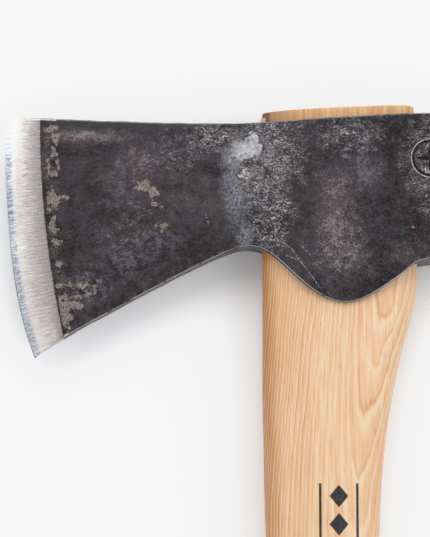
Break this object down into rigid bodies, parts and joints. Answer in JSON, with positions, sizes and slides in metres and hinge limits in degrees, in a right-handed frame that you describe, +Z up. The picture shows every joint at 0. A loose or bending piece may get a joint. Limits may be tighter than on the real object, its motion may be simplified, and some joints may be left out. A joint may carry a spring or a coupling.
{
  "type": "carving hatchet",
  "caption": "One-hand carving hatchet: forged bearded head with a ground bevel on each side, on a curved wooden handle wedged into the eye and locked by a steel staple.",
  "frame": {"origin": "on the outer surface of the lower cheek, under the middle of the eye, where the hatchet's side rests on a table", "axes": "+Z up through the hatchet's thickness as it lies on its side, +Y along the handle from the knob to the top of the head, +X from the cutting edge to the poll"},
  "size_m": [0.1504, 0.262, 0.027],
  "materials": {
    "forged_steel": "black forge scale, with satin ground bevels at the bit",
    "hickory": "fine sanded, thinly waxed",
    "wedge_wood": "sawn, thinly waxed",
    "staple_steel": "satin, scuffed"
  },
  "bodies": {
    "root": {"axe_head": "forged_steel", "handle": "hickory", "wooden_wedge": "wedge_wood", "steel_staple": "staple_steel"}
  },
  "joints": []
}
